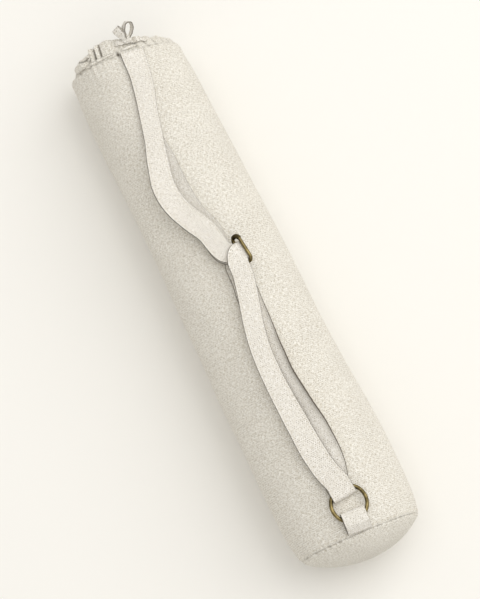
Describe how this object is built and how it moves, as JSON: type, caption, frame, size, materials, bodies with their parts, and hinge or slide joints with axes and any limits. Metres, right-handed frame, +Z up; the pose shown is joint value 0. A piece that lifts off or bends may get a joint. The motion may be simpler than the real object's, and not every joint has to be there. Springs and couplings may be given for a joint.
{
  "type": "yoga mat bag",
  "caption": "Long round cloth bag for a rolled yoga mat, with a gathered drawstring mouth tied in a bow, a domed base, and a slack carrying strap with a wire slider and a base ring.",
  "frame": {"origin": "middle of the floor that the bag covers, at floor height", "axes": "+X along the bag from its base to its mouth, +Z up with the strap side on top, +Y to the left of somebody at the base who looks to the mouth"},
  "size_m": [0.7014, 0.1622, 0.1747],
  "materials": {
    "canvas": "heathered linen-look canvas, matte",
    "webbing": "folded and stitched canvas band, matte",
    "brass": "antique, smooth, part darkened"
  },
  "bodies": {
    "root": {"bag_tube": "canvas", "base_panel": "canvas", "gathered_collar": "canvas", "drawstring_bow": "webbing", "shoulder_strap": "webbing", "slider_loop": "brass", "lower_strap": "webbing", "base_ring": "brass", "ring_tab": "webbing"}
  },
  "joints": []
}
